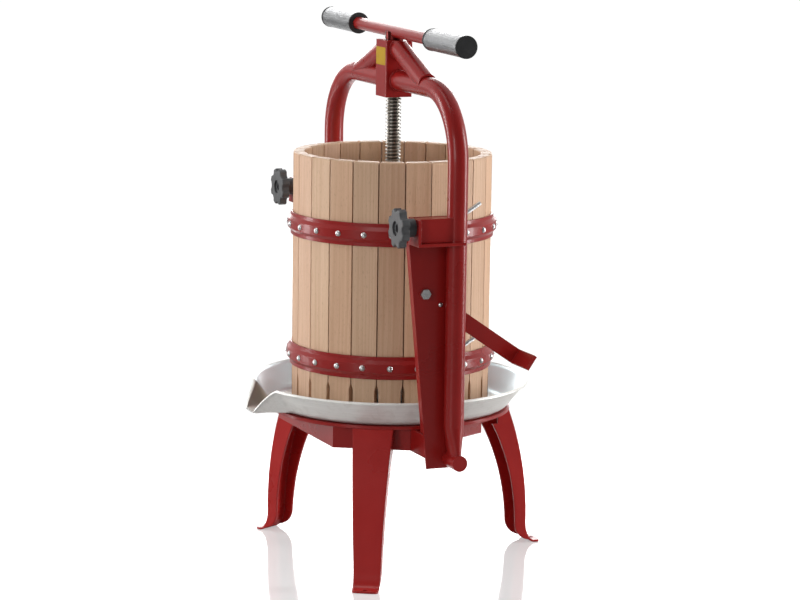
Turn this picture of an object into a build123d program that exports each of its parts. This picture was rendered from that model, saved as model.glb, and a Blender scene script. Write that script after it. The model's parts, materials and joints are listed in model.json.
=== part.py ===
from build123d import *
import os
from math import asin, ceil, cos, degrees, hypot, radians, sin, tan

os.makedirs("parts", exist_ok=True)

# Screw fruit press: a slatted wooden basket stands on a tray, a tubular bow carries the nut,
# and a threaded spindle drives the press plate. Millimetres, +Z up, floor at Z = 0, screw on Z.
# The spout points to -Y and the bow stands in the XZ plane.

# Basket staves
basket_bore = 250.0             # across facing stave flats
stave_count = 24
stave_thickness = 16.0
stave_length = 363.0
stave_gap = 1.5
juice_slot_width = 6.0          # wider gap between the stave feet
juice_slot_height = 42.0
juice_slot_taper = 8.0
stave_chamfer = 1.5

# Hoops: a pressed strip in two halves, joined at two seams by pins through eyes
hoop_height = 32.0
hoop_sheet = 2.5
hoop_bead_depth = 4.3
hoop_bead_flat = 12.0
hoop_bead_slope = 5.0
hoop_fit = 0.15
upper_hoop_rise = 262.0         # hoop centre above the stave feet
lower_hoop_rise = 75.0
seam_gaps = 1                   # stave gaps from the bow's plane to the first seam
seam_gap = 8.0                  # strip end to seam line
eye_diameter = 12.0
eye_standoff = 4.0              # eye axis outside the hoop's bead
eye_gap = 0.5
eye_tab = 3.0

# Rivets, one through each stave at each hoop
rivet_diameter = 4.0
rivet_head_diameter = 8.5
rivet_head_height = 2.8
rivet_depth = 9.0               # into the wood
rivet_fit = 0.1

# Closing pins
pin_diameter = 6.0
pin_fit = 0.05
pin_tail = 4.0                  # below the hoop
pin_neck = 7.0                  # above the hoop
pin_handle = 37.0
pin_handle_rise = 18.0
pin_bend = 7.0

# Juice tray
tray_sheet = 1.5
tray_gutter = 25.9              # basket to tray floor edge
tray_flare = 29.0
tray_depth = 37.0
rim_bead = 3.2
spout_shoulder_reach = 194.0
spout_shoulder_half = 44.0
spout_tip_reach = 215.0
spout_tip_half = 14.0
spout_tip_wall = 3.0
spout_root_half = 70.0
spout_draft = 16.0              # rim half width over floor half width
spout_tip_draft = 1.5

# Base ring and skirt
ring_thickness = 4.5
ring_lip = 5.0                  # beyond the tray floor
ring_width = 53.0
skirt_sheet = 4.0
skirt_height = 31.0
skirt_inset = 13.0              # behind the leg face
skirt_run_front = 58.0          # facet behind a front leg, towards the spout
skirt_run_side = 51.0           # the same facet, towards the upright
skirt_rear_reach = 108.0
skirt_rear_half = 85.0

# Legs: three pressed channels
leg_height = 218.0
leg_sheet = 3.0
leg_angles = {"leg_front_right": -30.0, "leg_rear": 90.0, "leg_front_left": 210.0}
leg_top_inset = 1.0             # behind the ring's edge
leg_bow = 30.0                  # face at mid height, beyond its top
leg_mid_height = 127.0
leg_spread = 40.0               # face at the ankle, beyond its top
leg_toe = 25.0                  # toe tip beyond the ankle
leg_flare_reach = 16.0          # curve from the face into the flat toe, half axes
leg_flare_rise = 30.0
leg_toe_corner = 6.5
leg_top_width = 57.0
leg_mid_width = 46.5
leg_foot_width = 37.0
leg_top_depth = 20.0            # flange depth behind the face
leg_mid_depth = 24.0
leg_foot_depth = 17.0
leg_flange_corner = 26.0
leg_flange_foot = 4.5           # flange edge above the floor
leg_notch_gap = 1.5
foot_hole_diameter = 7.0
foot_hole_edge = 6.5            # hole centre to toe tip

# Uprights and their links to the skirt
upright_clearance = 16.5        # tray rim to web
upright_sheet = 4.0
upright_flange = 8.0
upright_foot_drop = 13.0        # below the pivot
upright_foot_front = 33.0
upright_top_front = 64.0
upright_rear = 15.0
upright_heel = 2.0
upright_corner = 4.0
link_front = 35.0               # front face of the front link, towards the spout
link_rear = 14.0                # rear face of the rear link

# Tilting bow
tube_diameter = 28.0
tube_wall = 3.0
bow_gap = 0.5                   # upright web to bow tube
bow_bend = 95.0
bow_rise = 103.0                # crossbar axis above the basket
pivot_drop = 33.0               # pivot axis below the ring
pivot_diameter = 12.0
pivot_fit = 0.1
pivot_sleeve_diameter = 22.0
pivot_sleeve_length = 34.0
pivot_head = 4.0
pivot_collar_diameter = 18.0
pivot_collar = 8.0
pinch_height = 47.0             # flattened tube end, from the pivot up
pinch_thickness = 15.0
pinch_wall = 1.0                # left above the pivot bore

# Bow clamps: fork on the upright, star knob with a stud
clamp_rise = 326.0              # stud axis above the pivot
clamp_edge = 12.0               # stud axis to upright top
clamp_reach = 18.0              # clamp flange beyond the stud axis
fork_drop = 25.0                # fork top below the stud axis
fork_prong = 5.0
fork_rear = 6.0
fork_fit = 0.3
lug_width = 20.0                # clamp lug on the bow tube
lug_gap = 0.5                   # to the clamp flange and the fork
lug_sink = 6.0                  # into the tube
stud_diameter = 10.0
stud_fit = 0.3
stud_engagement = 14.0
stud_end_gap = 4.0
knob_diameter = 55.0
knob_lobes = 8
knob_valley_radius = 6.5
knob_valley_depth = 4.5
knob_thickness = 11.0
knob_round = 2.5
knob_hub_diameter = 25.0
knob_hub_length = 15.7
knob_gap = 0.3
knob_dish_diameter = 20.0
knob_dish = 3.0
knob_well_diameter = 12.0
knob_well = 9.0

# Rest arms that catch the tilted bow
rest_arm_width = 22.0
rest_arm_sheet = 5.0
rest_arm_length = 168.0         # first bolt to bend
rest_arm_angle = 34.2
rest_lug = 50.0
rest_bolt_front = 40.0          # first bolt ahead of the pivot plane
rest_bolt_rise = 232.0          # first bolt above the pivot
rest_bolt_pitch = 29.0
bolt_diameter = 8.0
bolt_head_flats = 13.0
bolt_head = 5.5
stop_diameter = 4.0
stop_head_diameter = 6.5
stop_head = 2.0
bolt_fit = 0.1

# Nut block and braces
block_width = 40.0
block_height = 80.0
block_drop = 24.0               # below the crossbar axis
block_round = 2.0
screw_clearance = 0.3
brace_drop = 11.0               # brace axis below the block's top
brace_angle = 22.0
brace_end = 124.0

# Spindle and handle
screw_diameter = 22.0
screw_pitch = 5.0
screw_depth = 2.75
screw_crest = 1.9
screw_root = 3.7
screw_embed = 0.3               # thread root sunk in the core
thread_run_turns = 12           # turns in one run of the thread
collar_diameter = 26.0          # under the handle bar
collar_gap = 0.5                # above the block
handle_gap = 3.0                # block top to bar
bar_diameter = 18.0
handle_length = 584.0
handle_angle = -3.3
grip_diameter = 30.0
grip_wall = 2.0
grip_length = 126.0
grip_fit = 0.25
grip_flange = 3.0
grip_flange_diameter = 31.0
grip_round = 0.8

# Press plate with its swivel cup
plate_clearance = 5.0           # to the staves
plate_thickness = 10.0
plate_rest_height = 24.0        # plate above the tray floor
cup_wall = 8.0
cup_floor = 3.0
cup_lip = 9.0
swivel_diameter = 30.0
swivel_thickness = 8.0
swivel_fit = 0.3
swivel_neck = 12.0              # plain neck above the cup

cut_margin = 5.0                # overshoot of cutting solids

# Heights and radii that follow from the sizes above
tray_seat_z = leg_height + ring_thickness
tray_floor_z = tray_seat_z + tray_sheet
tray_rim_z = tray_seat_z + tray_depth
basket_top_z = tray_floor_z + stave_length
half_pitch = 180.0 / stave_count
seam_angle = seam_gaps * 2 * half_pitch
stave_inner = basket_bore / 2
stave_outer = stave_inner + stave_thickness


def stave_half_width(reach, gap):
    """Half width of one stave at a distance from the screw axis."""
    return reach * tan(radians(half_pitch)) - gap / 2 / cos(radians(half_pitch))


stave_half = stave_half_width(stave_outer, stave_gap)
stave_foot_half = stave_half_width(stave_outer, juice_slot_width)
basket_radius = hypot(stave_outer, stave_half)
hoop_bore = basket_radius + hoop_fit
hoop_face = hoop_bore + hoop_bead_depth + hoop_sheet
hoop_heights = {"upper": tray_floor_z + upper_hoop_rise, "lower": tray_floor_z + lower_hoop_rise}
eye_reach = hoop_face + eye_standoff
rivet_hole = rivet_diameter / 2 + rivet_fit
pin_hole = pin_diameter / 2 + pin_fit

tray_floor_radius = basket_radius + tray_gutter
tray_rim_radius = tray_floor_radius + tray_flare
ring_radius = tray_floor_radius + ring_lip
leg_top_reach = ring_radius - leg_top_inset
leg_mid_reach = leg_top_reach + leg_bow
leg_ankle_reach = leg_top_reach + leg_spread
leg_toe_reach = leg_ankle_reach + leg_toe
leg_ankle_z = leg_sheet + leg_flare_rise
skirt_reach = leg_top_reach - skirt_inset
skirt_bottom_z = leg_height - skirt_height

tube_radius = tube_diameter / 2
web_inner = tray_rim_radius + upright_clearance
web_outer = web_inner + upright_sheet
bow_reach = web_outer + bow_gap + tube_radius
pivot_z = leg_height - pivot_drop
crossbar_z = basket_top_z + bow_rise
clamp_z = pivot_z + clamp_rise
upright_top_z = clamp_z + clamp_edge
upright_foot_z = pivot_z - upright_foot_drop
fork_z = clamp_z - fork_drop
sleeve_start = web_outer + bow_gap
sleeve_end = sleeve_start + pivot_sleeve_length

block_bottom_z = crossbar_z - block_drop
block_top_z = block_bottom_z + block_height
handle_z = block_top_z + handle_gap + bar_diameter / 2
screw_bore = screw_diameter / 2 + screw_clearance
screw_core = screw_diameter / 2 - screw_depth
plate_bottom_z = tray_floor_z + plate_rest_height
plate_radius = stave_inner - plate_clearance
chamber_z = plate_bottom_z + plate_thickness + cup_floor
chamber_top_z = chamber_z + swivel_thickness + 2 * swivel_fit
cup_top_z = chamber_top_z + cup_lip
chamber_radius = swivel_diameter / 2 + swivel_fit
cup_radius = chamber_radius + cup_wall
handle = Location((0, 0, handle_z), (0, 0, handle_angle))
handle_sides = {"right": 0.0, "left": 180.0}
along_x = (0, 90, 0)
at_start = (Align.CENTER, Align.CENTER, Align.MIN)


def save(builder, node):
    """Name a finished piece and write it."""
    builder.part.label = node
    export_step(builder.part, f"parts/{node}.step")


def save_pair(right, node):
    """Write a right-hand piece and its mirror image on the left."""
    with BuildPart() as left:
        mirror(right.part, about=Plane.YZ)
    save(right, f"{node}_right")
    save(left, f"{node}_left")


# Staves
with BuildPart() as stave_blank:
    inner_half = stave_half_width(stave_inner, stave_gap)
    with BuildSketch(Plane.XY.offset(tray_floor_z)):
        with BuildLine():
            Polyline(
                (stave_inner, -inner_half), (stave_outer, -stave_half),
                (stave_outer, stave_half), (stave_inner, inner_half), close=True,
            )
        make_face()
    extrude(amount=stave_length)
    slot_top_z = tray_floor_z + juice_slot_height
    with BuildSketch(Plane.YZ):
        with BuildLine():
            foot = (stave_foot_half, tray_floor_z)
            neck = (stave_foot_half, slot_top_z)
            shoulder = (stave_half, slot_top_z + juice_slot_taper)
            crown = (stave_half, basket_top_z)
            side = Polyline((0, tray_floor_z), foot, neck, shoulder, crown, (0, basket_top_z))
            mirror(side, about=Plane.YZ)
        make_face()
    extrude(amount=stave_outer + cut_margin, mode=Mode.INTERSECT)
    chamfer(stave_blank.faces().sort_by(Axis.Z)[-1].edges(), length=stave_chamfer)
    with Locations(*[(stave_outer, 0, z) for z in hoop_heights.values()]):
        Cylinder(
            rivet_hole, 2 * (rivet_depth + rivet_fit), rotation=along_x, mode=Mode.SUBTRACT
        )

for index in range(stave_count):
    with BuildPart() as stave:
        add(stave_blank.part, rotation=(0, 0, (2 * index + 1) * half_pitch))
    save(stave, f"stave_{index + 1:02d}")


# Hoop halves: one half of each hoop carries the outer eyes, the other the middle eye
def hoop_half(centre_z, turn, eye_spans):
    """Half a hoop, seams at `turn` and half a revolution on, with eyes over the given spans."""
    end = seam_gap / hoop_bore
    flank = hoop_bead_flat / 2
    toe = flank + hoop_bead_slope
    edge = hoop_height / 2
    start = Plane(
        origin=(0, 0, centre_z), x_dir=(cos(end), sin(end), 0), z_dir=(sin(end), -cos(end), 0)
    )
    with BuildPart() as half:
        with BuildSketch(start):
            with BuildLine():
                inner = [
                    (hoop_bore, -edge), (hoop_bore, -toe), (hoop_bore + hoop_bead_depth, -flank),
                    (hoop_bore + hoop_bead_depth, flank), (hoop_bore, toe), (hoop_bore, edge),
                ]
                outer = [(r + hoop_sheet, z) for r, z in reversed(inner)]
                Polyline(*inner, *outer, close=True)
            make_face()
        revolve(axis=Axis.Z, revolution_arc=180 - 2 * degrees(end))
        with Locations((0, 0, centre_z)):
            with PolarLocations(hoop_face, stave_count, half_pitch - turn):
                Cylinder(rivet_hole, 4 * hoop_sheet, rotation=along_x, mode=Mode.SUBTRACT)
        for low, high in eye_spans:
            for side in (1, -1):
                with Locations((side * eye_reach, 0, centre_z + low)):
                    Cylinder(eye_diameter / 2, high - low, align=at_start)
                with Locations((side * (hoop_bore + hoop_face) / 2, 0, centre_z + low)):
                    Box(
                        hoop_face - hoop_bore, seam_gap + eye_tab, high - low,
                        align=(Align.CENTER, Align.MIN, Align.MIN),
                    )
                with Locations((side * eye_reach, 0, centre_z + low)):
                    Cylinder(pin_hole, high - low, align=at_start, mode=Mode.SUBTRACT)
    with BuildPart() as placed:
        add(half.part, rotation=(0, 0, turn))
    return placed


eye_third = hoop_height / 6
outer_eyes = [(-3 * eye_third, -eye_third - eye_gap), (eye_third + eye_gap, 3 * eye_third)]
middle_eye = [(-eye_third, eye_third)]
for level, hoop_z in hoop_heights.items():
    save(hoop_half(hoop_z, seam_angle, outer_eyes), f"hoop_{level}_rear")
    save(hoop_half(hoop_z, seam_angle + 180, middle_eye), f"hoop_{level}_front")

# Rivets: a domed head on the hoop and a shank into the stave, along +X in the blank
with BuildPart() as rivet_blank:
    rivet_length = hoop_face - stave_outer + rivet_depth
    with BuildSketch(Plane.XZ):
        with BuildLine():
            Polyline(
                (rivet_head_height, 0), (-rivet_length, 0), (-rivet_length, rivet_diameter / 2),
                (0, rivet_diameter / 2), (0, rivet_head_diameter / 2),
            )
            TangentArc(
                (rivet_head_height, 0), (0, rivet_head_diameter / 2), tangent=(0, 1)
            )
        make_face()
    revolve(axis=Axis.X)

with BuildPart() as hoop_rivets:
    with Locations(*[(0, 0, z) for z in hoop_heights.values()]):
        with PolarLocations(hoop_face, stave_count, half_pitch):
            add(rivet_blank.part)
save(hoop_rivets, "hoop_rivets")


# Closing pins: a rod through the eyes, bent over as a handle
def closing_pin(centre_z, turn):
    """A pin at the seam `turn`, its handle along the hoop and rising."""
    foot = (eye_reach, 0, centre_z - hoop_height / 2 - pin_tail)
    knee = (eye_reach, 0, centre_z + hoop_height / 2 + pin_neck)
    tip = (eye_reach, pin_handle, centre_z + hoop_height / 2 + pin_neck + pin_handle_rise)
    with BuildPart() as rod:
        with BuildLine() as path:
            FilletPolyline(foot, knee, tip, radius=pin_bend)
        with BuildSketch(Plane.XY.offset(foot[2])):
            with Locations((eye_reach, 0)):
                Circle(pin_diameter / 2)
        sweep(path=path.line)
    with BuildPart() as placed:
        add(rod.part, rotation=(0, 0, turn))
    return placed


for level, hoop_z in hoop_heights.items():
    save(closing_pin(hoop_z, seam_angle), f"closing_pin_{level}_right")
    save(closing_pin(hoop_z, seam_angle + 180), f"closing_pin_{level}_left")


# Juice tray: a flared pan with a tapering spout
def spout_loft(skin, lift, tip_reach):
    """Solid of the spout, `skin` inside its sides and floor and `lift` above its rim."""
    tip_rim_z = tray_seat_z + spout_tip_wall
    stations = (
        (stave_outer, spout_root_half, spout_draft, tray_rim_z),
        (spout_shoulder_reach, spout_shoulder_half, spout_draft, tray_rim_z),
        (tip_reach, spout_tip_half, spout_tip_draft, tip_rim_z),
    )
    with BuildPart() as solid:
        for reach, half, draft, rim_z in stations:
            top_half = half - skin + draft * lift / (rim_z - tray_seat_z)
            floor_half = half - draft - skin
            with BuildSketch(Plane.XZ.offset(reach)):
                with BuildLine():
                    Polyline(
                        (-floor_half, tray_seat_z + skin), (floor_half, tray_seat_z + skin),
                        (top_half, rim_z + lift), (-top_half, rim_z + lift), close=True,
                    )
                make_face()
        loft(ruled=True)
    return solid.part


spout_outside = spout_loft(0, 0, spout_tip_reach)
spout_inside = spout_loft(tray_sheet, cut_margin, spout_tip_reach + tray_sheet)
bead_radius = rim_bead / 2
bead_start = degrees(spout_shoulder_half / tray_rim_radius)

with BuildPart() as tray:
    with BuildSketch(Plane.XZ):
        with BuildLine():
            Polyline(
                (0, tray_seat_z), (tray_floor_radius, tray_seat_z), (tray_rim_radius, tray_rim_z),
                (0, tray_rim_z), close=True,
            )
        make_face()
    revolve(axis=Axis.Z)
    add(spout_outside)
    with BuildSketch(Plane.XZ):
        with BuildLine():
            Polyline(
                (0, tray_floor_z), (tray_floor_radius - tray_sheet, tray_floor_z),
                (tray_rim_radius - tray_sheet, tray_rim_z),
                (tray_rim_radius - tray_sheet, tray_rim_z + cut_margin),
                (0, tray_rim_z + cut_margin), close=True,
            )
        make_face()
    revolve(axis=Axis.Z, mode=Mode.SUBTRACT)
    add(spout_inside, mode=Mode.SUBTRACT)
    bead_angle = radians(bead_start - 90)
    bead_plane = Plane(
        origin=(0, 0, tray_rim_z - bead_radius),
        x_dir=(cos(bead_angle), sin(bead_angle), 0),
        z_dir=(sin(bead_angle), -cos(bead_angle), 0),
    )
    with BuildSketch(bead_plane):
        with Locations((tray_rim_radius, 0)):
            Circle(bead_radius)
    revolve(axis=Axis.Z, revolution_arc=360 - 2 * bead_start)
save(tray, "tray")

# Base ring under the tray
with BuildPart() as base_ring:
    with BuildSketch(Plane.XY.offset(leg_height)):
        Circle(ring_radius)
        Circle(ring_radius - ring_width, mode=Mode.SUBTRACT)
    extrude(amount=ring_thickness)
save(base_ring, "base_ring")

# Skirt: a folded strip under the ring, with links out to the uprights
facet = radians(leg_angles["leg_front_right"])
facet_normal = (cos(facet), sin(facet))
facet_run = (-sin(facet), cos(facet))
skirt_front = tuple(skirt_reach * n - skirt_run_front * t for n, t in zip(facet_normal, facet_run))
skirt_side = tuple(skirt_reach * n + skirt_run_side * t for n, t in zip(facet_normal, facet_run))
rear_share = (link_rear - skirt_side[1]) / (skirt_rear_reach - skirt_side[1])
link_rear_start = skirt_side[0] + rear_share * (skirt_rear_half - skirt_side[0])

with BuildPart() as base_skirt:
    with BuildSketch(Plane.XY.offset(skirt_bottom_z)):
        with BuildLine():
            strip = Polyline(
                (0, skirt_front[1]), skirt_front, skirt_side, (skirt_rear_half, skirt_rear_reach),
                (0, skirt_rear_reach),
            )
            mirror(strip, about=Plane.YZ)
        make_face()
        offset(amount=-skirt_sheet, kind=Kind.INTERSECTION, mode=Mode.SUBTRACT)
    extrude(amount=skirt_height)
    with BuildSketch(Plane.XY.offset(skirt_bottom_z)):
        for side in (1, -1):
            for start, rear_face in (
                (skirt_side[0] - skirt_sheet, skirt_sheet - link_front),
                (link_rear_start, link_rear),
            ):
                with Locations((side * (start + web_inner) / 2, rear_face)):
                    Rectangle(web_inner - start, skirt_sheet, align=(Align.CENTER, Align.MAX))
    extrude(amount=skirt_height)
save(base_skirt, "base_skirt")


# Legs: a bowed channel, open to the inside, whose face runs on into a flat toe
def leg_wedge(inset):
    """Front view of a leg pulled through its depth, `inset` inside its edges."""
    foot, mid, top = (w / 2 - inset for w in (leg_foot_width, leg_mid_width, leg_top_width))
    with BuildPart() as wedge:
        with BuildSketch(Plane.YZ):
            with BuildLine():
                ThreePointArc((foot, 0), (mid, leg_mid_height), (top, leg_height))
                ThreePointArc((-foot, 0), (-mid, leg_mid_height), (-top, leg_height))
                Line((-foot, 0), (foot, 0))
                Line((-top, leg_height), (top, leg_height))
            make_face()
        extrude(amount=leg_toe_reach)
    return wedge.part


leg_face = [
    (leg_top_reach, leg_height), (leg_mid_reach, leg_mid_height), (leg_ankle_reach, leg_ankle_z)
]
leg_back = [(r - leg_sheet, z) for r, z in leg_face]
flare_centre = (leg_ankle_reach + leg_flare_reach, leg_ankle_z)
flange_turn = degrees(asin((leg_ankle_z - leg_flange_foot) / leg_flare_rise))

with BuildPart() as leg_flanges:
    with BuildSketch(Plane.XZ):
        with BuildLine():
            ThreePointArc(*leg_face)
            flare = EllipticalCenterArc(
                flare_centre, leg_flare_reach, leg_flare_rise, 180, arc_size=flange_turn
            )
            edge_foot = (leg_ankle_reach - leg_foot_depth, leg_flange_foot + leg_flange_corner)
            edge_corner = (edge_foot[0] + leg_flange_corner, leg_flange_foot)
            edge_mid = (leg_mid_reach - leg_mid_depth, leg_mid_height)
            edge_top = (leg_top_reach - leg_top_depth, skirt_bottom_z - leg_notch_gap)
            notch = skirt_reach + leg_notch_gap
            Line(flare @ 1, edge_corner)
            TangentArc(edge_corner, edge_foot, tangent=(-1, 0))
            ThreePointArc(edge_foot, edge_mid, edge_top)
            Polyline(edge_top, (notch, edge_top[1]), (notch, leg_height), leg_face[0])
        make_face()
    extrude(amount=leg_top_width, both=True)
    add(leg_wedge(0), mode=Mode.INTERSECT)
    add(leg_wedge(leg_sheet), mode=Mode.SUBTRACT)

with BuildPart() as leg_blank:
    with BuildSketch(Plane.XZ):
        with BuildLine():
            ThreePointArc(*leg_face)
            EllipticalCenterArc(flare_centre, leg_flare_reach, leg_flare_rise, 180, arc_size=90)
            EllipticalCenterArc(
                flare_centre, leg_flare_reach + leg_sheet, leg_flare_rise + leg_sheet, 180, arc_size=90
            )
            Polyline(
                (flare_centre[0], leg_sheet), (leg_toe_reach, leg_sheet), (leg_toe_reach, 0),
                (flare_centre[0], 0),
            )
            ThreePointArc(*leg_back)
            Line(leg_back[0], leg_face[0])
        make_face()
    extrude(amount=leg_top_width, both=True)
    add(leg_wedge(0), mode=Mode.INTERSECT)
    add(leg_flanges.part)
    toe_edges = leg_blank.faces().sort_by(Axis.X)[-1].edges()
    fillet(toe_edges.sort_by(SortBy.LENGTH)[:2], radius=leg_toe_corner)
    with Locations((leg_toe_reach - foot_hole_edge, 0, 0)):
        Cylinder(foot_hole_diameter / 2, 2 * leg_sheet + cut_margin, mode=Mode.SUBTRACT)

for node, turn in leg_angles.items():
    with BuildPart() as leg:
        add(leg_blank.part, rotation=(0, 0, turn))
    save(leg, node)

# Uprights: a web with a bent front edge, a clamp flange and a fork for the bow tube
rest_bolt_z = pivot_z + rest_bolt_rise
arm_slope = radians(rest_arm_angle)
arm_plane = Plane(
    origin=(web_inner - rest_arm_sheet, -rest_bolt_front, rest_bolt_z),
    x_dir=(0, cos(arm_slope), -sin(arm_slope)), z_dir=(1, 0, 0),
)
stop_y = rest_bolt_pitch * cos(arm_slope) - rest_bolt_front
stop_z = rest_bolt_z - rest_bolt_pitch * sin(arm_slope)
bolt_hole = bolt_diameter / 2 + bolt_fit
stop_hole = stop_diameter / 2 + bolt_fit


def front_edge(z):
    """Y of the upright's sloping front edge."""
    share = (z - upright_foot_z) / (fork_z - upright_foot_z)
    return -upright_foot_front - share * (upright_top_front - upright_foot_front)


with BuildPart() as upright:
    with BuildSketch(Plane.YZ.offset(web_inner)):
        with BuildLine():
            Polyline(
                (-upright_foot_front, upright_foot_z), (upright_heel, upright_foot_z),
                (upright_rear, pivot_z), (upright_rear, upright_top_z),
                (-upright_top_front, upright_top_z), (-upright_top_front, fork_z), close=True,
            )
        make_face()
        with Locations((0, pivot_z)):
            Circle(pivot_diameter / 2 + pivot_fit, mode=Mode.SUBTRACT)
        with Locations((-rest_bolt_front, rest_bolt_z)):
            Circle(bolt_hole, mode=Mode.SUBTRACT)
        with Locations((stop_y, stop_z)):
            Circle(stop_hole, mode=Mode.SUBTRACT)
    extrude(amount=upright_sheet)
    with BuildSketch(Plane.YZ.offset(web_inner - upright_flange)):
        with BuildLine():
            low, high = front_edge(tray_seat_z), front_edge(fork_z)
            Polyline(
                (low, tray_seat_z), (low + upright_sheet, tray_seat_z),
                (high + upright_sheet, fork_z), (high, fork_z), close=True,
            )
        make_face()
    extrude(amount=upright_flange)
    flange_end = bow_reach + clamp_reach
    with BuildSketch(Plane.XZ.offset(upright_top_front)):
        with Locations(((web_inner + flange_end) / 2, (fork_z + upright_top_z) / 2)):
            Rectangle(flange_end - web_inner, upright_top_z - fork_z)
        with Locations((bow_reach, clamp_z)):
            Circle(stud_diameter / 2 + stud_fit, mode=Mode.SUBTRACT)
    extrude(amount=-upright_sheet)
    flange_edges = upright.edges().filter_by(Axis.Y).group_by(Axis.X)[-1]
    fillet(flange_edges.sort_by(Axis.Z)[-1], radius=upright_corner)
    fork_slot = tube_radius + fork_fit
    fork_end = bow_reach + fork_slot + fork_prong
    with BuildSketch(Plane.XY.offset(fork_z)):
        with BuildLine():
            Polyline(
                (web_inner, -upright_top_front), (fork_end, -upright_top_front),
                (fork_end, fork_rear), (web_inner, fork_rear), close=True,
            )
        make_face()
        with Locations((bow_reach, 0)):
            Circle(fork_slot, mode=Mode.SUBTRACT)
            Rectangle(
                2 * fork_slot, 2 * fork_rear, align=(Align.CENTER, Align.MIN), mode=Mode.SUBTRACT
            )
    extrude(amount=upright_sheet)
save_pair(upright, "upright")

# Rest arms: a flat bar along the upright's inner face, its end turned out as a lug
with BuildPart() as rest_arm:
    with BuildSketch(arm_plane):
        Circle(rest_arm_width / 2)
        Rectangle(
            rest_arm_length + rest_arm_sheet, rest_arm_width, align=(Align.MIN, Align.CENTER)
        )
        Circle(bolt_hole, mode=Mode.SUBTRACT)
        with Locations((rest_bolt_pitch, 0)):
            Circle(stop_hole, mode=Mode.SUBTRACT)
    extrude(amount=rest_arm_sheet)
    with BuildSketch(arm_plane):
        with Locations((rest_arm_length, 0)):
            Rectangle(rest_arm_sheet, rest_arm_width, align=(Align.MIN, Align.CENTER))
    extrude(amount=rest_arm_sheet + rest_lug)
save_pair(rest_arm, "rest_arm")

# Bolts of the rest arms: a hexagon bolt with its nut and a domed stop, on each side
bolt_length = upright_sheet + rest_arm_sheet
with BuildPart() as rest_arm_bolts:
    for reach, pull in ((web_outer, bolt_head), (web_inner - rest_arm_sheet, -bolt_head)):
        with BuildSketch(Plane.YZ.offset(reach)):
            with Locations((-rest_bolt_front, rest_bolt_z)):
                RegularPolygon(bolt_head_flats / 2, 6, major_radius=False)
        extrude(amount=pull)
    with BuildSketch(Plane.YZ.offset(web_outer)):
        with Locations((-rest_bolt_front, rest_bolt_z)):
            Circle(bolt_diameter / 2)
        with Locations((stop_y, stop_z)):
            Circle(stop_diameter / 2)
    extrude(amount=-bolt_length)
    with BuildSketch(Plane(origin=(web_outer, stop_y, stop_z), x_dir=(1, 0, 0), z_dir=(0, -1, 0))):
        with BuildLine():
            Polyline((stop_head, 0), (0, 0), (0, stop_head_diameter / 2))
            TangentArc((stop_head, 0), (0, stop_head_diameter / 2), tangent=(0, 1))
        make_face()
    revolve(axis=Axis((0, stop_y, stop_z), (1, 0, 0)))
    mirror(about=Plane.YZ)
save(rest_arm_bolts, "rest_arm_bolts")

# Pivot pins: a headed pin through the bow's sleeve and the upright, with an inner collar
with BuildPart() as pivot_pin:
    with BuildSketch(Plane.XZ):
        with BuildLine():
            pin_r, head_r, collar_r = (
                d / 2 for d in (pivot_diameter, pivot_sleeve_diameter, pivot_collar_diameter)
            )
            collar_end = web_inner - pivot_collar
            head_end = sleeve_end + pivot_head
            Polyline(
                (collar_end, pivot_z), (collar_end, pivot_z + collar_r),
                (web_inner, pivot_z + collar_r), (web_inner, pivot_z + pin_r),
                (sleeve_end, pivot_z + pin_r), (sleeve_end, pivot_z + head_r),
                (head_end, pivot_z + head_r), (head_end, pivot_z), close=True,
            )
        make_face()
    revolve(axis=Axis((0, 0, pivot_z), (1, 0, 0)))
save_pair(pivot_pin, "pivot_pin")

# Bow halves: crossbar, bend and leg in one tube, pinched onto its pivot sleeve
block_half = block_width / 2
pinch_top_z = pivot_z + pinch_height
pinch_foot_z = pivot_z + pivot_diameter / 2 + pivot_fit + pinch_wall
sleeve_mid = (sleeve_start + sleeve_end) / 2
lug_face = upright_top_front - upright_sheet - lug_gap
lug_foot_z = fork_z + upright_sheet + lug_gap

with BuildPart() as bow:
    with BuildLine() as bow_path:
        FilletPolyline(
            (block_half, 0, crossbar_z), (bow_reach, 0, crossbar_z), (bow_reach, 0, pinch_top_z),
            radius=bow_bend,
        )
    with BuildSketch(Plane.YZ.offset(block_half)):
        with Locations((0, crossbar_z)):
            Circle(tube_radius)
            Circle(tube_radius - tube_wall, mode=Mode.SUBTRACT)
    sweep(path=bow_path.line)
    with BuildSketch(Plane.XY.offset(pinch_top_z)):
        with Locations((bow_reach, 0)):
            Circle(tube_radius)
    with BuildSketch(Plane.XY.offset(pinch_foot_z)):
        with Locations((sleeve_mid, 0)):
            Ellipse(pivot_sleeve_length / 2, pinch_thickness / 2)
    loft()
    with Locations(Location((sleeve_start, 0, pivot_z), along_x)):
        Cylinder(pivot_sleeve_diameter / 2, pivot_sleeve_length, align=at_start)
        Cylinder(
            pivot_diameter / 2 + pivot_fit, pivot_sleeve_length, align=at_start, mode=Mode.SUBTRACT
        )
    with BuildSketch(Plane.XZ.offset(lug_face)):
        with Locations((bow_reach, (lug_foot_z + upright_top_z) / 2)):
            Rectangle(lug_width, upright_top_z - lug_foot_z)
    extrude(amount=tube_radius - lug_sink - lug_face)
    with BuildSketch(Plane.XZ.offset(lug_face)):
        with Locations((bow_reach, clamp_z)):
            Circle(stud_diameter / 2 + stud_fit)
    extrude(amount=-stud_engagement - stud_end_gap, mode=Mode.SUBTRACT)
save_pair(bow, "bow")

# Nut block between the bow halves
with BuildPart() as nut_block:
    with BuildSketch(Plane.XY.offset(block_bottom_z)):
        RectangleRounded(block_width, block_width, block_round)
        Circle(screw_bore, mode=Mode.SUBTRACT)
    extrude(amount=block_height)
save(nut_block, "nut_block")

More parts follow.
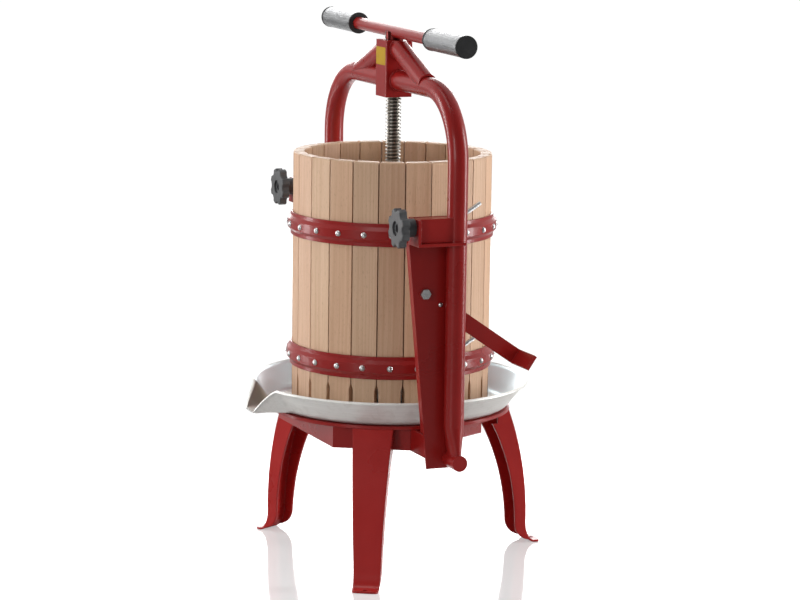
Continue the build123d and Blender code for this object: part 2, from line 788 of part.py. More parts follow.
# Braces: tubes from the top of the block down onto the crossbar, saddle-cut
brace_slope = radians(brace_angle)
brace_run = brace_end - block_half
with BuildPart() as brace:
    brace_plane = Plane(
        origin=(block_half, 0, block_top_z - brace_drop), x_dir=(0, 1, 0),
        z_dir=(cos(brace_slope), 0, -sin(brace_slope)),
    )
    with BuildSketch(brace_plane):
        Circle(tube_radius)
        Circle(tube_radius - tube_wall, mode=Mode.SUBTRACT)
    extrude(amount=brace_run + tube_diameter, both=True)
    with BuildSketch(Plane.XZ):
        with Locations((block_half, crossbar_z)):
            Rectangle(brace_run, block_top_z - crossbar_z, align=(Align.MIN, Align.MIN))
    extrude(amount=tube_diameter, both=True, mode=Mode.INTERSECT)
    with BuildSketch(Plane.YZ):
        with Locations((0, crossbar_z)):
            Circle(tube_radius)
    extrude(amount=bow_reach, mode=Mode.SUBTRACT)
save_pair(brace, "brace")

# Press plate: a disc whose cup holds the spindle's swivel flange
with BuildPart() as press_plate:
    plate_top_z = plate_bottom_z + plate_thickness
    neck_radius = screw_core + swivel_fit
    with BuildSketch(Plane.XZ):
        with BuildLine():
            Polyline(
                (0, plate_bottom_z), (plate_radius, plate_bottom_z), (plate_radius, plate_top_z),
                (cup_radius, plate_top_z), (cup_radius, cup_top_z), (neck_radius, cup_top_z),
                (neck_radius, chamber_top_z), (chamber_radius, chamber_top_z),
                (chamber_radius, chamber_z), (0, chamber_z), close=True,
            )
        make_face()
    revolve(axis=Axis.Z)
save(press_plate, "press_plate")

# Spindle: swivel flange, core, trapezoidal thread and a collar saddled under the bar
swivel_z = chamber_z + swivel_fit
thread_z = cup_top_z + swivel_neck
collar_z = block_top_z + collar_gap
thread_length = collar_z + screw_crest - thread_z
run_length = thread_run_turns * screw_pitch
with BuildPart() as spindle:
    with BuildSketch(Plane.XY.offset(swivel_z)):
        Circle(swivel_diameter / 2)
    extrude(amount=swivel_thickness)
    with BuildSketch(Plane.XY.offset(swivel_z)):
        Circle(screw_core)
    extrude(amount=handle_z - swivel_z)
    with BuildLine() as thread_path:
        for run in range(ceil(thread_length / run_length)):
            climb = run * run_length
            Helix(
                pitch=screw_pitch, height=min(run_length, thread_length - climb), radius=screw_core,
                center=(0, 0, thread_z + climb),
            )
    thread_start = Plane(
        origin=thread_path.line @ 0, x_dir=(1, 0, 0), z_dir=thread_path.line % 0
    )
    with BuildSketch(thread_start):
        with BuildLine():
            Polyline(
                (-screw_embed, -screw_root / 2), (screw_depth, -screw_crest / 2),
                (screw_depth, screw_crest / 2), (-screw_embed, screw_root / 2), close=True,
            )
        make_face()
    sweep(path=thread_path.line, is_frenet=True)
    with BuildSketch(Plane.XY.offset(collar_z)):
        Circle(collar_diameter / 2)
    extrude(amount=handle_z - collar_z)
    with Locations(handle):
        Cylinder(
            bar_diameter / 2, 2 * collar_diameter, rotation=along_x, mode=Mode.SUBTRACT
        )
save(spindle, "spindle")

# Handle bar, and on each end a fixed core that carries a turning sleeve
bar_length = handle_length - 2 * grip_flange
with BuildPart() as handle_bar:
    with Locations(handle):
        Cylinder(bar_diameter / 2, bar_length, rotation=along_x)
save(handle_bar, "handle_bar")

grip_end = bar_length / 2 - grip_fit
grip_start = grip_end - grip_length
core_start = grip_start - grip_fit - grip_flange
core_radius = grip_diameter / 2 - grip_wall - grip_fit
core_flange = grip_flange_diameter / 2
for side, turn in handle_sides.items():
    outward = handle * Location((0, 0, 0), (0, 0, turn))
    with BuildPart() as grip:
        with Locations(outward * Location((grip_start, 0, 0), along_x)):
            Cylinder(grip_diameter / 2, grip_length, align=at_start)
            Cylinder(
                grip_diameter / 2 - grip_wall, grip_length, align=at_start, mode=Mode.SUBTRACT
            )
        fillet(grip.edges().filter_by(GeomType.CIRCLE), radius=grip_round)
    save(grip, f"grip_{side}")
    with BuildPart() as grip_core:
        with Locations(outward * Location((core_start, 0, 0), along_x)):
            Cylinder(core_flange, grip_flange, align=at_start)
            Cylinder(core_radius, handle_length / 2 - core_start, align=at_start)
        with Locations(outward * Location((bar_length / 2, 0, 0), along_x)):
            Cylinder(core_flange, grip_flange, align=at_start)
        with Locations(handle):
            Cylinder(bar_diameter / 2, bar_length, rotation=along_x, mode=Mode.SUBTRACT)
    save(grip_core, f"grip_core_{side}")

# Star knobs: lobed head, hub and stud, facing the spout
hub_back = upright_top_front + knob_gap
star_back = hub_back + knob_hub_length
star_face = star_back + knob_thickness
valley_reach = knob_diameter / 2 - knob_valley_depth + knob_valley_radius
with BuildPart() as clamp_knob:
    with BuildSketch(Plane.XZ.offset(star_back)) as star:
        with Locations((bow_reach, clamp_z)):
            Circle(knob_diameter / 2)
            with PolarLocations(valley_reach, knob_lobes):
                Circle(knob_valley_radius, mode=Mode.SUBTRACT)
        fillet(star.vertices(), radius=knob_round)
    extrude(amount=knob_thickness)
    fillet(clamp_knob.faces().sort_by(Axis.Y)[0].edges(), radius=knob_round)
    for face, radius, depth, mode in (
        (hub_back, knob_hub_diameter / 2, knob_hub_length, Mode.ADD),
        (star_face - knob_dish, knob_dish_diameter / 2, knob_dish, Mode.SUBTRACT),
        (star_face - knob_well, knob_well_diameter / 2, knob_well, Mode.SUBTRACT),
        (lug_face - stud_engagement, stud_diameter / 2, hub_back - lug_face + stud_engagement,
         Mode.ADD),
    ):
        with BuildSketch(Plane.XZ.offset(face)):
            with Locations((bow_reach, clamp_z)):
                Circle(radius)
        extrude(amount=depth, mode=mode)
save_pair(clamp_knob, "clamp_knob")
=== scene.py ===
import json
import math
import random

import bmesh
import bpy
from mathutils import Matrix, Vector


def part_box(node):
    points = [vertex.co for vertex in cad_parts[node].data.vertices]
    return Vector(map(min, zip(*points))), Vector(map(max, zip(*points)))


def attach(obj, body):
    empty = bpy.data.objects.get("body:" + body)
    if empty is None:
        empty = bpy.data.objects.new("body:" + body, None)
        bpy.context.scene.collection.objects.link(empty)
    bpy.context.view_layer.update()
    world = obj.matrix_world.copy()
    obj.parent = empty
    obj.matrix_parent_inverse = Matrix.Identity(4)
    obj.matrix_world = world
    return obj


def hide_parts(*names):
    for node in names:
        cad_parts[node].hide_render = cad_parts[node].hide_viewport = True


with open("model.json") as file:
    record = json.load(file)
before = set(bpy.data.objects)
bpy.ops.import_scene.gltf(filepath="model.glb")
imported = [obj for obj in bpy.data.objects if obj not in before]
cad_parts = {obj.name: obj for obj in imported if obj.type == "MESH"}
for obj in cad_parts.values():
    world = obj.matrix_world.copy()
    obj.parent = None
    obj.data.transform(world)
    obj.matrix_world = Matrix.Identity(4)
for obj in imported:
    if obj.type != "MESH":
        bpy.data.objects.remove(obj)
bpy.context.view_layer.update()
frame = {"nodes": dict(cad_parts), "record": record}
nodes = frame["nodes"]
slots = {entry["node"]: entry["material_slot"] for entry in frame["record"]["subparts"]}

# Camera, fitted to the photograph
photo_width = 800
focal_px = 2931.2
centre_shift_px = 9.26          # picture centre beyond the screw's axis
camera_azimuth = math.radians(67.56)
camera_pitch = math.radians(9.44)
camera_roll = math.radians(0.8)
camera_reach = 4.1554
camera_height = 1.0631

# Handle bar, as it stands in the solids
handle_turn = math.radians(-3.3)
handle_height = 0.758
grip_radius = 0.015


def rgba(tone, strength=1.0):
    """A colour times `strength`, opaque."""
    return tuple(min(1.0, strength * channel) for channel in tone) + (1,)


class Finish:
    """A procedural material: one Principled shader and short calls for the nodes that feed it."""

    def __init__(self, name, **fixed):
        self.material = bpy.data.materials.new(name)
        self.material.use_nodes = True
        self.tree = self.material.node_tree
        self.tree.nodes.clear()
        self.shader = self.node("ShaderNodeBsdfPrincipled")
        output = self.node("ShaderNodeOutputMaterial")
        self.tree.links.new(self.shader.outputs["BSDF"], output.inputs["Surface"])
        for socket, value in fixed.items():
            self.shader.inputs[socket.replace("_", " ")].default_value = value
        self.place = self.node("ShaderNodeTexCoord").outputs["Object"]

    def node(self, kind, **settings):
        made = self.tree.nodes.new(kind)
        for key, value in settings.items():
            setattr(made, key, value)
        return made

    def feed(self, socket, value):
        if isinstance(value, bpy.types.NodeSocket):
            self.tree.links.new(value, socket)
        else:
            socket.default_value = value

    def set(self, socket, value):
        self.feed(self.shader.inputs[socket], value)

    def mapped(self, vector, scale=(1, 1, 1), rotation=(0, 0, 0), location=(0, 0, 0)):
        made = self.node("ShaderNodeMapping")
        for socket, value in (
            ("Vector", vector), ("Scale", scale), ("Rotation", rotation), ("Location", location)
        ):
            self.feed(made.inputs[socket], value)
        return made.outputs["Vector"]

    def noise(self, vector, scale, detail=2.0, roughness=0.5, distortion=0.0, depth=None):
        made = self.node("ShaderNodeTexNoise")
        if depth is not None:
            made.noise_dimensions = "4D"
            self.feed(made.inputs["W"], depth)
        for socket, value in (
            ("Vector", vector), ("Scale", scale), ("Detail", detail), ("Roughness", roughness),
            ("Distortion", distortion),
        ):
            self.feed(made.inputs[socket], value)
        return made.outputs["Fac"]

    def cells(self, vector, scale):
        made = self.node("ShaderNodeTexVoronoi")
        self.feed(made.inputs["Vector"], vector)
        self.feed(made.inputs["Scale"], scale)
        return made.outputs["Color"]

    def sum(self, operation, first, second):
        made = self.node("ShaderNodeMath", operation=operation)
        self.feed(made.inputs[0], first)
        self.feed(made.inputs[1], second)
        return made.outputs["Value"]

    def span(self, value, low, high, to_low=0.0, to_high=1.0):
        made = self.node("ShaderNodeMapRange")
        for socket, number in zip(made.inputs, (value, low, high, to_low, to_high)):
            self.feed(socket, number)
        return made.outputs["Result"]

    def mix(self, share, first, second):
        made = self.node("ShaderNodeMix", data_type="RGBA")
        for index, value in ((0, share), (6, first), (7, second)):
            self.feed(made.inputs[index], value)
        return made.outputs[2]

    def split(self, vector):
        made = self.node("ShaderNodeSeparateXYZ")
        self.feed(made.inputs[0], vector)
        return made.outputs

    def join(self, x, y, z):
        made = self.node("ShaderNodeCombineXYZ")
        for socket, value in zip(made.inputs, (x, y, z)):
            self.feed(socket, value)
        return made.outputs[0]

    def reach(self, x, y):
        squares = self.sum("ADD", self.sum("MULTIPLY", x, x), self.sum("MULTIPLY", y, y))
        return self.sum("SQRT", squares, 0.0)

    def rounded(self, radius):
        made = self.node("ShaderNodeBevel", samples=4)
        self.feed(made.inputs["Radius"], radius)
        return made.outputs["Normal"]

    def edges(self, soft_normal, low, high):
        """Share of an edge: how far the rounded normal leaves the true one."""
        dot = self.node("ShaderNodeVectorMath", operation="DOT_PRODUCT")
        self.feed(dot.inputs[0], soft_normal)
        self.feed(dot.inputs[1], self.node("ShaderNodeNewGeometry").outputs["Normal"])
        return self.span(dot.outputs["Value"], 1.0 - low, 1.0 - high)

    def bump(self, height, distance, normal=None, strength=1.0):
        made = self.node("ShaderNodeBump")
        for socket, value in (("Height", height), ("Distance", distance), ("Strength", strength)):
            self.feed(made.inputs[socket], value)
        if normal is not None:
            self.feed(made.inputs["Normal"], normal)
        return made.outputs["Normal"]


def red_paint(name, lift, rounding):
    """Gloss paint, `lift` its strength: above 1 it paints the part lighter as painted light; edges
    rounded over `rounding` by the press.
    """
    paint = Finish(name, **{"Specular IOR Level": 0.25, "Coat Weight": 0.12, "Coat Roughness": 0.08})
    cloud = paint.noise(paint.place, 14.0, detail=4.0)
    peel = paint.noise(paint.place, 420.0, detail=2.0)
    dust = paint.noise(paint.place, 1500.0, detail=1.0)
    soft = paint.rounded(rounding)
    # `lift` scales the whole tone: a lift over 1 is painted light, a lighter copy of the same paint.
    deep, fresh = rgba((0.245, 0.0085, 0.0075), lift), rgba((0.305, 0.0115, 0.01), lift)
    tone = paint.mix(paint.span(cloud, 0.15, 0.85), deep, fresh)
    worn = paint.sum("MULTIPLY", paint.edges(soft, 0.02, 0.3), paint.span(cloud, 0.15, 0.85, 0.0, 0.65))
    tone = paint.mix(worn, tone, (0.40, 0.05, 0.045, 1))
    speck = paint.span(dust, 0.70, 0.78, 0.0, 0.35)
    tone = paint.mix(speck, tone, (0.34, 0.05, 0.045, 1))
    paint.set("Base Color", tone)
    paint.set("Roughness", paint.span(cloud, 0.15, 0.85, 0.22, 0.38))
    paint.set("Normal", paint.bump(peel, 0.00012, soft))
    return paint.material


def beech(index, rng):
    """Wood of one stave, with its own cut through the log."""
    wood = Finish(f"beech_{index + 1:02d}", **{"Specular IOR Level": 0.5})
    stave_angle = 15.0
    turn = -math.radians((index + 0.5) * stave_angle)
    local = wood.mapped(wood.place, rotation=(0, 0, turn))
    shift = tuple(rng.uniform(-3, 3) for _ in range(3))
    pith = (-rng.uniform(0.07, 0.13), rng.uniform(-0.035, 0.035), 0)
    lean = (rng.uniform(-0.06, 0.06), rng.uniform(-0.09, 0.09), 0)
    log = wood.mapped(wood.mapped(local, location=pith), scale=(1, 1, 0.16), rotation=lean)
    rings = wood.node("ShaderNodeTexWave", wave_type="RINGS", rings_direction="Z", wave_profile="SAW")
    for socket, value in (
        ("Vector", log), ("Scale", rng.uniform(55, 85)), ("Distortion", 5.0), ("Detail", 3.0),
        ("Detail Scale", 0.35), ("Detail Roughness", 0.6),
    ):
        wood.feed(rings.inputs[socket], value)
    moved = wood.mapped(local, location=shift)
    fibre = wood.noise(wood.mapped(moved, scale=(620, 620, 11)), 1.0, detail=4.0, roughness=0.65)
    streak = wood.noise(wood.mapped(moved, scale=(110, 110, 2.2)), 1.0, detail=3.0)
    fleck = wood.noise(wood.mapped(moved, scale=(900, 900, 150)), 1.0, detail=1.0)
    cloud = wood.noise(wood.mapped(moved, scale=(14, 14, 4)), 1.0, detail=2.0)
    warm = rng.uniform(0.0, 1.0)
    light = rng.uniform(0.95, 1.06)
    pale = rgba((0.69 - 0.02 * warm, 0.465 - 0.04 * warm, 0.30 - 0.025 * warm), light)
    deep = rgba((0.535, 0.325 - 0.02 * warm, 0.19 - 0.01 * warm), light)
    figure = wood.sum("MULTIPLY", wood.span(rings.outputs["Fac"], 0.2, 1.0), 0.34)
    figure = wood.sum("ADD", figure, wood.span(streak, 0.35, 0.7, 0.0, 0.35))
    figure = wood.sum("ADD", figure, wood.span(fibre, 0.3, 0.72, -0.1, 0.35))
    figure = wood.sum("ADD", figure, wood.span(cloud, 0.35, 0.7, -0.12, 0.2))
    tone = wood.mix(figure, pale, deep)
    tone = wood.mix(wood.span(fleck, 0.63, 0.74, 0.0, 0.32), tone, (0.25, 0.13, 0.07, 1))
    dry_z, wet_z = 0.31, 0.225
    z = wood.split(wood.place)[2]
    damp = wood.sum("MULTIPLY", wood.span(z, dry_z, wet_z), wood.span(streak, 0.3, 0.7, 0.15, 0.6))
    tone = wood.mix(damp, tone, (0.30, 0.165, 0.09, 1))
    upward = wood.split(wood.node("ShaderNodeNewGeometry").outputs["Normal"])[2]
    pores = wood.noise(wood.mapped(moved, scale=(700, 700, 700)), 1.0, detail=2.0)
    grain = wood.mix(wood.span(pores, 0.35, 0.7), (0.66, 0.46, 0.31, 1), (0.46, 0.29, 0.17, 1))
    tone = wood.mix(wood.span(upward, 0.6, 0.8), tone, grain)
    wood.set("Base Color", tone)
    wood.set("Roughness", wood.span(fibre, 0.3, 0.7, 0.42, 0.6))
    relief = wood.sum("ADD", fibre, wood.sum("MULTIPLY", rings.outputs["Fac"], 0.4))
    wood.set("Normal", wood.bump(relief, 0.00016, wood.rounded(0.0014)))
    return wood.material


def tray_steel():
    """Sheet brushed round the tray, smoother inside and tinted cool there as a painted reflection, and
    painted dark down the spout's inside as shade and dark reflection.
    """
    steel = Finish("tray_steel")
    brush_lines, spout_root_y, spout_y = 420.0, -0.168, -0.186
    x, y, z = steel.split(steel.place)
    radius = steel.reach(x, y)
    around = steel.join(
        steel.sum("DIVIDE", x, radius), steel.sum("DIVIDE", y, radius),
        steel.sum("MULTIPLY", radius, brush_lines),
    )
    depth = steel.sum("MULTIPLY", z, brush_lines)
    brush = steel.noise(around, 1.6, detail=4.0, roughness=0.7, depth=depth)
    cloud = steel.noise(steel.place, 22.0, detail=4.0, roughness=0.6)
    stain = steel.noise(steel.place, 75.0, detail=3.0, distortion=0.6)
    soft = steel.rounded(0.0008)
    tone = steel.mix(steel.span(brush, 0.3, 0.7), (0.71, 0.70, 0.67, 1), (0.83, 0.82, 0.79, 1))
    tone = steel.mix(steel.span(stain, 0.52, 0.75, 0.0, 0.4), tone, (0.56, 0.535, 0.49, 1))
    nx, ny, _ = steel.split(steel.node("ShaderNodeNewGeometry").outputs["Normal"])
    outward = steel.sum("ADD", steel.sum("MULTIPLY", x, nx), steel.sum("MULTIPLY", y, ny))
    inside = steel.span(steel.sum("DIVIDE", outward, radius), -0.1, -0.4)
    # Inner faces tinted a cool grey-blue: a painted reflection of what the inner wall mirrors.
    tone = steel.mix(steel.sum("MULTIPLY", inside, 0.85), tone, (0.70, 0.80, 0.84, 1))
    # Dark blue-grey down the inside of the spout: painted shade and dark reflection.
    run = steel.sum("MULTIPLY", inside, steel.span(y, spout_root_y, spout_y, 0.0, 0.85))
    tone = steel.mix(run, tone, (0.215, 0.25, 0.27, 1))
    steel.set("Base Color", tone)
    rough = steel.span(brush, 0.2, 0.8, 0.38, 0.54)
    rough = steel.sum("ADD", rough, steel.span(cloud, 0.3, 0.7, -0.04, 0.1))
    steel.set("Roughness", steel.sum("SUBTRACT", rough, steel.sum("MULTIPLY", inside, 0.12)))
    steel.set("Metallic", steel.span(inside, 0.0, 1.0, 0.55, 0.8))
    steel.set("Normal", steel.bump(brush, 0.00006, soft))
    return steel.material


def zinc():
    """Zinc plate with its fine spangle."""
    metal = Finish("zinc", Metallic=1.0)
    grains = metal.split(metal.cells(metal.place, 900.0))[0]
    cloud = metal.noise(metal.place, 60.0, detail=4.0)
    fine = metal.noise(metal.place, 1800.0, detail=2.0)
    tone = metal.mix(metal.span(grains, 0.0, 1.0), (0.50, 0.505, 0.51, 1), (0.72, 0.72, 0.715, 1))
    tone = metal.mix(metal.span(cloud, 0.55, 0.75, 0.0, 0.4), tone, (0.42, 0.40, 0.36, 1))
    metal.set("Base Color", tone)
    metal.set("Roughness", metal.span(cloud, 0.3, 0.7, 0.24, 0.42))
    metal.set("Normal", metal.bump(fine, 0.00004, metal.rounded(0.0005)))
    return metal.material


def grip_steel():
    """Knurled sleeves on the handle bar: crossed ridges, bright on top, with painted shade dark between.
    """
    metal = Finish("grip_steel", Metallic=1.0)
    pitch = 0.0031
    bar = metal.mapped(metal.place, rotation=(0, 0, -handle_turn), location=(0, 0, -handle_height))
    x, y, z = metal.split(bar)
    round_bar = metal.sum("MULTIPLY", metal.sum("ARCTAN2", z, y), grip_radius)
    ridges = []
    for lean in (1.0, -1.0):
        along = metal.sum("ADD", x, metal.sum("MULTIPLY", round_bar, lean))
        ridges.append(metal.sum("SINE", metal.sum("MULTIPLY", along, 2.0 * math.pi / pitch), 0.0))
    knurl = metal.span(metal.sum("ADD", *ridges), -2.0, 2.0)
    cloud = metal.noise(metal.place, 60.0, detail=4.0)
    grime = metal.noise(metal.place, 420.0, detail=3.0)
    # The knurl's grooves go near-black: painted shade between the ridges; the crests keep the metal's
    # own grey.
    tone = metal.mix(metal.span(knurl, 0.25, 0.75), (0.03, 0.03, 0.032, 1), (0.48, 0.485, 0.495, 1))
    tone = metal.mix(metal.span(grime, 0.5, 0.72, 0.0, 0.55), tone, (0.16, 0.16, 0.16, 1))
    metal.set("Base Color", tone)
    metal.set("Roughness", metal.span(cloud, 0.3, 0.7, 0.26, 0.42))
    metal.set("Normal", metal.bump(knurl, 0.00022, strength=0.8))
    return metal.material


def moulded(name, low, high, grain, roughness):
    """Grained plastic between two greys, rubbed paler along its edges."""
    plastic = Finish(name)
    pebble = plastic.noise(plastic.place, grain, detail=2.0)
    cloud = plastic.noise(plastic.place, 40.0, detail=3.0)
    soft = plastic.rounded(0.0009)
    tone = plastic.mix(plastic.span(cloud, 0.3, 0.7), rgba(low), rgba(high))
    rub = plastic.sum("MULTIPLY", plastic.edges(soft, 0.03, 0.35), 0.5)
    tone = plastic.mix(rub, tone, rgba(high, 2.2))
    plastic.set("Base Color", tone)
    plastic.set("Roughness", plastic.span(pebble, 0.3, 0.7, roughness - 0.06, roughness + 0.08))
    plastic.set("Normal", plastic.bump(pebble, 0.00009, soft))
    return plastic.material


def screw_steel(collar_z):
    """Oiled steel, worn bright on the thread's crests; the collar from `collar_z` up is red paint,
    darkened further as painted shade.
    """
    steel = Finish("screw_steel", Metallic=1.0)
    x, y, z = steel.split(steel.place)
    radius = steel.reach(x, y)
    turning = steel.noise(steel.join(radius, z, 0.0), 900.0, detail=3.0)
    cloud = steel.noise(steel.place, 55.0, detail=4.0)
    root_radius, crest_radius, collar_edge = 0.0093, 0.0108, 0.0004
    crest = steel.span(radius, root_radius, crest_radius)
    tone = steel.mix(crest, (0.095, 0.086, 0.073, 1), (0.36, 0.34, 0.31, 1))
    tone = steel.mix(steel.span(cloud, 0.5, 0.72, 0.0, 0.5), tone, (0.13, 0.105, 0.075, 1))
    # Collar above the block: red paint darkened to near-black red, the darkness painted shade.
    tone = steel.mix(steel.span(z, collar_z - collar_edge, collar_z), tone, (0.085, 0.012, 0.011, 1))
    steel.set("Base Color", tone)
    steel.set("Roughness", steel.span(cloud, 0.3, 0.7, 0.3, 0.48))
    steel.set("Normal", steel.bump(turning, 0.00004, steel.rounded(0.0004)))
    return steel.material


def plate_steel():
    """Turned steel of the press plate."""
    steel = Finish("plate_steel", Metallic=1.0)
    x, y, z = steel.split(steel.place)
    radius = steel.reach(x, y)
    lathe = steel.noise(steel.join(radius, z, 0.0), 1400.0, detail=3.0)
    cloud = steel.noise(steel.place, 30.0, detail=4.0)
    tone = steel.mix(steel.span(cloud, 0.3, 0.7), (0.42, 0.415, 0.40, 1), (0.60, 0.595, 0.58, 1))
    steel.set("Base Color", tone)
    steel.set("Roughness", steel.span(lathe, 0.3, 0.7, 0.28, 0.44))
    steel.set("Normal", steel.bump(lathe, 0.00005, steel.rounded(0.0008)))
    return steel.material


def label_vinyl():
    """Yellow film with fine scuffs."""
    vinyl = Finish("label_vinyl", **{"Specular IOR Level": 0.1})
    cloud = vinyl.noise(vinyl.place, 120.0, detail=3.0)
    scuff = vinyl.noise(vinyl.mapped(vinyl.place, scale=(300, 300, 1800)), 1.0, detail=2.0)
    tone = vinyl.mix(vinyl.span(cloud, 0.3, 0.7), (0.42, 0.25, 0.013, 1), (0.48, 0.29, 0.017, 1))
    tone = vinyl.mix(vinyl.span(scuff, 0.66, 0.78, 0.0, 0.4), tone, (0.60, 0.43, 0.14, 1))
    vinyl.set("Base Color", tone)
    vinyl.set("Roughness", vinyl.span(cloud, 0.3, 0.7, 0.35, 0.5))
    vinyl.set("Normal", vinyl.bump(scuff, 0.00003))
    return vinyl.material


# Finishes on the CAD nodes
block_low, block_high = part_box("nut_block")
finishes = {
    "red_paint": red_paint("red_paint", 1.0, 0.0012),
    "tray_steel": tray_steel(),
    "zinc": zinc(),
    "black_plastic": moulded("black_plastic", (0.012, 0.012, 0.013), (0.022, 0.022, 0.023), 900.0, 0.48),
    "knob_plastic": moulded("knob_plastic", (0.045, 0.046, 0.048), (0.075, 0.076, 0.079), 1100.0, 0.46),
    "screw_steel": screw_steel(block_high.z),
    "plate_steel": plate_steel(),
    "grip_steel": grip_steel(),
    # The legs get the same red paint lifted lighter: painted light for the light they catch.
    "leg_paint_painted_lighter": red_paint("leg_paint_painted_lighter", 1.45, 0.0028),
}
rng = random.Random(24)
for name, piece in sorted(nodes.items()):
    if name.startswith("stave_"):
        finish = beech(int(name[-2:]) - 1, rng)
    elif name.startswith("leg_"):
        finish = finishes["leg_paint_painted_lighter"]
    elif name in ("grip_right", "grip_left"):
        finish = finishes["grip_steel"]
    else:
        finish = finishes[slots[name]]
    piece.data.materials.clear()
    piece.data.materials.append(finish)


def mesh_piece(name, mesh, material, smooth=True):
    """A finished bmesh as a piece of the object, riding on its frame."""
    data = bpy.data.meshes.new(name)
    for face in mesh.faces:
        face.smooth = smooth
    mesh.to_mesh(data)
    mesh.free()
    data.materials.append(material)
    made = bpy.data.objects.new(name, data)
    bpy.context.scene.collection.objects.link(made)
    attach(made, "frame")
    return made


def tube(name, path, radii, side, material, closed):
    """A round bead along points, `side` a direction that the path never takes."""
    facets = 10
    mesh = bmesh.new()
    rings = []
    for k, (point, radius) in enumerate(zip(path, radii)):
        before = path[k - 1] if closed or k > 0 else point
        after = path[(k + 1) % len(path)] if closed or k + 1 < len(path) else point
        along = (after - before).normalized()
        across = along.cross(side).normalized()
        over = across.cross(along)
        turns = [2 * math.pi * step / facets for step in range(facets)]
        rings.append([
            mesh.verts.new(point + radius * (across * math.cos(turn) + over * math.sin(turn)))
            for turn in turns
        ])
    for first, second in zip(rings, rings[1:] + rings[:1] if closed else rings[1:]):
        for k in range(facets):
            after = (k + 1) % facets
            mesh.faces.new((first[k], first[after], second[after], second[k]))
    if not closed:
        mesh.faces.new(rings[0])
        mesh.faces.new(reversed(rings[-1]))
    bmesh.ops.recalc_face_normals(mesh, faces=mesh.faces)
    return mesh_piece(name, mesh, material)


# Blank label on the front of the nut block
def label(name, centre, width, height, thickness, corner):
    """A thin sheet with round corners, facing -Y, its edges slightly rolled to the block."""
    corner_steps = 6
    mesh = bmesh.new()
    rim = []
    for sx, sz, start in ((1, 1, 0), (-1, 1, 90), (-1, -1, 180), (1, -1, 270)):
        for step in range(corner_steps + 1):
            angle = math.radians(start + 90 * step / corner_steps)
            rim.append((
                sx * (width / 2 - corner) + corner * math.cos(angle),
                sz * (height / 2 - corner) + corner * math.sin(angle),
            ))
    loops = []
    for scale, lift in ((1.0, 0.0), (1.0, 0.6), (0.98, 1.0)):
        loops.append([
            mesh.verts.new((centre[0] + u * scale, centre[1] - lift * thickness, centre[2] + v * scale))
            for u, v in rim
        ])
    count = len(rim)
    for inner, outer in zip(loops, loops[1:]):
        for k in range(count):
            mesh.faces.new((inner[k], inner[(k + 1) % count], outer[(k + 1) % count], outer[k]))
    mesh.faces.new(loops[-1])
    mesh.faces.new(reversed(loops[0]))
    bmesh.ops.recalc_face_normals(mesh, faces=mesh.faces)
    return mesh_piece(name, mesh, label_vinyl(), smooth=False)


label(
    "blank_label", (-0.0009, block_low.y, 0.7235),
    width=0.0340, height=0.0250, thickness=0.0003, corner=0.0015,
)


# Juice tray: one pressed sheet, its spout drawn out of the wall, with a rolled rim
def bezier(points, share):
    """Point on a cubic curve."""
    rest = 1 - share
    weights = (rest**3, 3 * rest**2 * share, 3 * rest * share**2, share**3)
    return sum((w * p for w, p in zip(weights, points)), Vector((0, 0, 0)))


